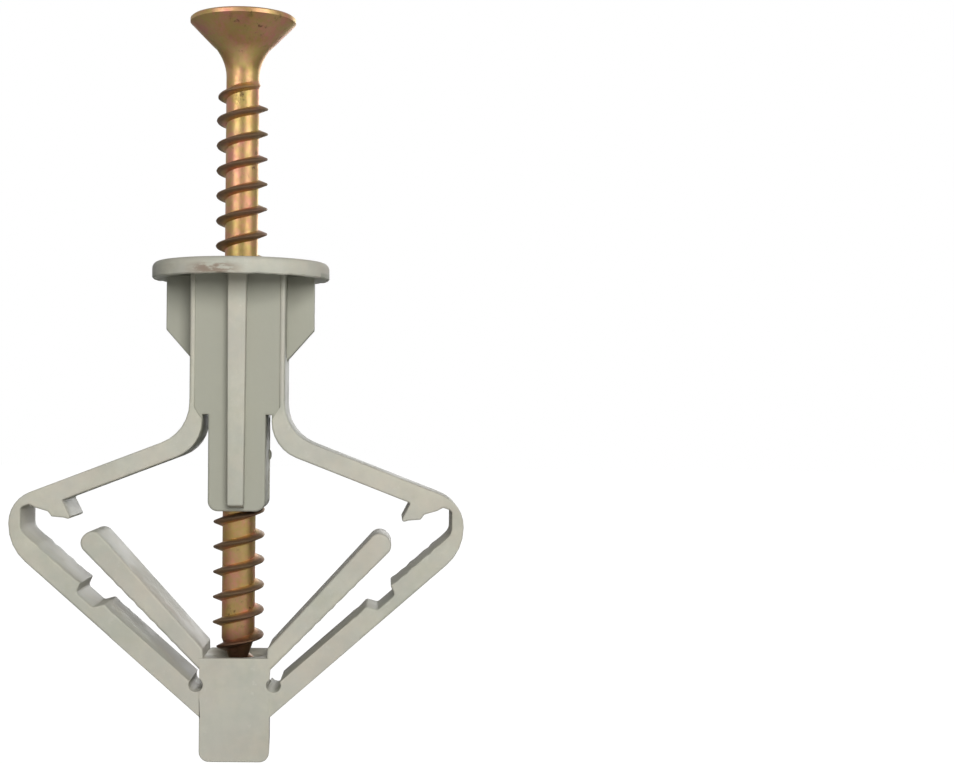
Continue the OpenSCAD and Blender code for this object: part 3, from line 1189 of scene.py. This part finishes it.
@dataclass
class Screw:
    """The countersunk wood screw: head with a cross recess, neck, thread and point.

    Attributes:
        rim_t: height of the head's rim.
        cone: radius and depth of the foot of the head's cone.
        neck_end: depth where the neck reaches the shank.
        shank_r: radius between the threads.
        crest_r: radius over the thread.
        thread_start: depth where the thread starts.
        thread_full: depth where the thread reaches its full height.
        point_len: length of the point.
        pitch: pitch of the thread.
        crest_level: level of one crest on the right-hand side.
        turn_steps: facets in one turn.
        ridge_w: half width of the ridge at its root, and of its flat crest.
        punch_z: how far the middle of the drive recess lies below the head's top.
    """

    rim_t: float = 0.45
    cone: Pair = (2.0, 2.4)
    neck_end: float = 4.5
    shank_r: float = 1.25
    crest_r: float = 1.95
    thread_start: float = 5.0
    thread_full: float = 6.2
    point_len: float = 3.0
    pitch: float = 1.9
    crest_level: float = -19.3
    turn_steps: int = 40
    ridge_w: Pair = (0.4, 0.09)
    punch_z: float = 1.0

    def __post_init__(self) -> None:
        """Takes the screw's place and size from the frame."""
        self.top = levels("screw_head")[1]
        self.head_r = half_width("screw_head", 0)
        self.tip = levels("screw_point")[0]

    def core(self, z: float) -> float:
        """Radius of the solid core at a level: the shank, tapering at the point."""
        share = unit((z - self.tip) / self.point_len)
        return max(0.06, share ** 0.8 * self.shank_r)

    def shank(self) -> Mesh:
        """Head, neck, shank and point in one turned shape."""
        top, (cone_r, cone_z) = self.top, self.cone
        profile = [(0, top), (self.head_r - 0.14, top), (self.head_r, top - 0.12),
                   (self.head_r, top - self.rim_t + 0.06),
                   (self.head_r - 0.08, top - self.rim_t - 0.02)]
        profile += [(cone_r + 0.35, top - cone_z + 0.33), (cone_r, top - cone_z)]
        fall, flare = self.neck_end - cone_z, cone_r - self.shank_r
        profile += [(self.shank_r + flare * (1 - i / 6) ** 2, top - cone_z - fall * i / 6)
                    for i in range(1, 7)]
        base = self.tip + self.point_len
        point = [base - self.point_len * i / 8 for i in range(1, 8)]
        profile += [(self.shank_r, base), *((self.core(z), z) for z in point), (0, self.tip)]
        return lathe(profile, BORE_STEPS)

    def thread(self) -> Mesh:
        """The thread: one ridge wound down the shank, run in at the neck and out at the point."""
        start = self.top - self.thread_start
        turns = (start - self.tip - 0.35) / self.pitch
        lead = (start - self.crest_level) / self.pitch * 2 * math.pi
        root, (half, crest) = self.shank_r - 0.2, self.ridge_w
        flank = [(root, half), (self.shank_r + 0.02, half * 0.8), (self.crest_r - 0.05, crest)]
        section = [*flank, (self.crest_r, 0.0), *((r, -z) for r, z in reversed(flank))]
        bm = bmesh.new()
        cos, sin = math.cos(lead), math.sin(lead)
        ring = [bm.verts.new((r * cos, r * sin, start + z)) for r, z in section]
        loop = [bm.edges.new((ring[i - 1], ring[i])) for i in range(len(ring))]
        bm.faces.new(ring)
        made = bmesh.ops.spin(bm, geom=ring + loop, cent=(0, 0, 0), axis=(0, 0, 1),
                              dvec=(0, 0, -self.pitch / self.turn_steps),
                              angle=-2 * math.pi * turns, steps=round(turns * self.turn_steps),
                              use_duplicate=False)
        last = [g for g in made["geom_last"] if isinstance(g, bmesh.types.BMEdge)]
        bmesh.ops.contextual_create(bm, geom=last)
        bmesh.ops.recalc_face_normals(bm, faces=bm.faces)
        fade = self.thread_full - self.thread_start
        for v in bm.verts:
            r, z = math.hypot(v.co.x, v.co.y), v.co.z
            run_in = unit((self.top - z - self.thread_start + 0.1) / fade)
            run_out = unit((z - self.tip) / self.point_len + 0.05)
            want = self.core(z) + (r - self.shank_r) * run_in * (run_out ** 0.5)
            v.co.x, v.co.y = v.co.x * want / r, v.co.y * want / r
        return bm

    def recess(self) -> Piece:
        """The cross-shaped punch that makes the recess in the head."""
        middle = Matrix.Translation((0, 0, self.top - self.punch_z))
        bm = bmesh.new()
        bmesh.ops.create_cone(bm, cap_ends=True, segments=24, radius1=0.75, radius2=1.05,
                              depth=2.2, matrix=middle)
        punch = to_object("punch", bm)
        for turn in (0, 90):
            blade = bmesh.new()
            bmesh.ops.create_cube(blade, size=1)
            bmesh.ops.scale(blade, vec=(4.4, 0.85, 2.4), verts=blade.verts)
            for v in blade.verts:
                if v.co.z < 0:
                    v.co.x *= 0.36
                    v.co.y *= 0.6
            turned = middle @ Matrix.Rotation(math.radians(turn), 4, "Z")
            bmesh.ops.transform(blade, matrix=turned, verts=blade.verts)
            combine(punch, to_object("blade", blade), "UNION")
        return punch

    def make(self, dresser: Dresser) -> None:
        """Builds and dresses the screw.

        Args:
            dresser: gives the pieces their finish and bodies.
        """
        turned = to_object("screw_body", self.shank(), sharp=40)
        combine(turned, self.recess())
        nodes = ["screw_head", "screw_shank", "screw_point", "screw_core"]
        dresser.ride(turned, "screw", Slot.PLATED, nodes)
        thread = to_object("screw_thread_ridge", self.thread(), sharp=50)
        dresser.ride(thread, "screw", Slot.PLATED, ["screw_thread"])


# --- setting -------------------------------------------------------------------------------


@dataclass
class Studio:
    """Pale floor, soft light and camera.

    Attributes:
        eye: the camera's place.
        lens: its focal length, on a 36 mm sensor.
        shift: its shift, which leaves the object in the left half of the frame.
        roll: its roll, in degrees.
        floor_z: level of the floor.
        bright_way: direction that most of the soft light comes from.
        panels: directions of the bright panels that shiny surfaces mirror.
        dim: brightness of the rest of the room in those surfaces.
        bright: how much brighter the panels are than it.
        lamps: the soft lights, each as its name, its place and its power in watts.
        lamp_size: the side of a soft light.
    """

    eye: Triple = (11.0, -125.0, -9.5)
    lens: float = 62.1
    shift: Pair = (0.0965, 0.0259)
    roll: float = -0.5
    floor_z: float = -48.0
    bright_way: Triple = (0.3, -0.85, 0.45)
    panels: Sequence[Triple] = (
        (-0.55, -0.8, 0.1), (0.75, -0.65, 0.15), (0.3, 0.9, 0.1))
    dim: float = 0.42
    bright: float = 2.1
    lamps: Sequence[tuple[str, Triple, float]] = (
        ("front_light", (62, -272, 90), 0.84), ("back_light", (0, 280, -10), 0.36))
    lamp_size: float = 150.0

    def floor(self) -> None:
        """A pale floor, which the camera sees as part of the bright surroundings, with painted
        shade round the object in the light that it bounces.
        """
        bm = bmesh.new()
        bmesh.ops.create_grid(bm, x_segments=1, y_segments=1, size=900,
                              matrix=Matrix.Translation((0, 0, self.floor_z)))
        piece = to_object("floor", bm)
        material, tree, shader = new_material("pale_floor")
        # Painted shade: the floor is darker near the object, so less light bounces up and the metal
        # mirrors a shaded floor; the camera sees mostly the glow.
        reach = tree.measure("LENGTH", tree.place(stretch=(1, 1, 0)))
        tone = tree.mix(tree.span(reach, 12.0, 60.0), (0.2, 0.2, 0.19, 1), (0.65, 0.65, 0.64, 1))
        tree.wire(tone, shader.inputs["Base Color"])
        shader.inputs["Roughness"].default_value = 0.9
        glow = tree.add("Emission")
        glow.inputs["Strength"].default_value = 1.1
        seen = tree.add("LightPath").outputs["Is Camera Ray"]
        both = tree.add("MixShader")
        for part, socket in zip((tree.times(seen, 0.94), shader.outputs[0], glow.outputs[0]),
                                both.inputs):
            tree.wire(part, socket)
        output = material.node_tree.nodes["Material Output"]
        tree.wire(both.outputs[0], output.inputs["Surface"])
        piece.data.materials.append(material)

    def surroundings(self) -> None:
        """White surroundings that light the object softly, most of it from the front and above."""
        world = bpy.data.worlds.new("white_room")
        bpy.context.scene.world = world
        world.use_nodes = True
        tree = Tree(world.node_tree)
        plain = world.node_tree.nodes["Background"]
        plain.inputs["Color"].default_value = (1, 1, 1, 1)
        way = tree.add("TexCoord").outputs["Generated"]
        rays = tree.add("LightPath").outputs
        facing = tree.measure("DOT_PRODUCT", way, Vector(self.bright_way).normalized())
        sky = tree.pick(rays["Is Camera Ray"], tree.span(facing, -0.1, 0.95, 0.02, 0.13), 1.0)
        shine: Socket | float = self.dim
        for panel in self.panels:
            ahead = tree.measure("DOT_PRODUCT", way, Vector(panel).normalized())
            shine = tree.maths("ADD", tree.span(ahead, 0.9, 0.975, 0.0, self.bright), shine)
        strength = tree.pick(rays["Is Glossy Ray"], sky, shine)
        tree.wire(strength, plain.inputs["Strength"])

    def lamp(self, name: str, place: Triple, power: float) -> None:
        """A square soft light aimed at the middle of the object.

        Args:
            name: its name.
            place: where it stands.
            power: its power, in watts.
        """
        data = bpy.data.lights.new(name, "AREA")
        data.shape, data.size, data.energy = "SQUARE", self.lamp_size * MM, power
        lamp = bpy.data.objects.new(name, data)
        bpy.context.scene.collection.objects.link(lamp)
        middle = Vector((0, 0, -10)) * MM
        lamp.location = Vector(place) * MM
        lamp.visible_glossy = lamp.visible_camera = False
        lamp.rotation_euler = (middle - lamp.location).to_track_quat("-Z", "Y").to_euler()

    def camera(self) -> None:
        """The camera, which looks straight along +Y from the right of the object."""
        data = bpy.data.cameras.new("camera")
        data.lens, data.sensor_width, data.clip_start = self.lens, 36.0, 0.001
        data.shift_x, data.shift_y = self.shift
        camera = bpy.data.objects.new("camera", data)
        camera.location = Vector(self.eye) * MM
        camera.rotation_euler = (math.pi / 2, math.radians(self.roll), 0)
        bpy.context.scene.collection.objects.link(camera)
        bpy.context.scene.camera = camera

    def make(self) -> None:
        """Sets up the floor, the lights and the camera."""
        self.floor()
        self.surroundings()
        for lamp in self.lamps:
            self.lamp(*lamp)
        self.camera()
        bpy.context.scene.view_settings.view_transform = "Standard"


def main() -> None:
    """Builds every piece and the setting."""
    logging.basicConfig(level=logging.INFO, format="%(name)s: %(message)s")
    dresser = Dresser({Slot.MOULDING: MouldedPlastic().build(),
                       Slot.PLATED: PlatedSteel().build()})
    Collar().make(dresser)
    for side in Side:
        Wing(side).make(dresser)
    NutBlock().make(dresser)
    Screw().make(dresser)
    Studio().make()


if __name__ == "__main__":
    main()
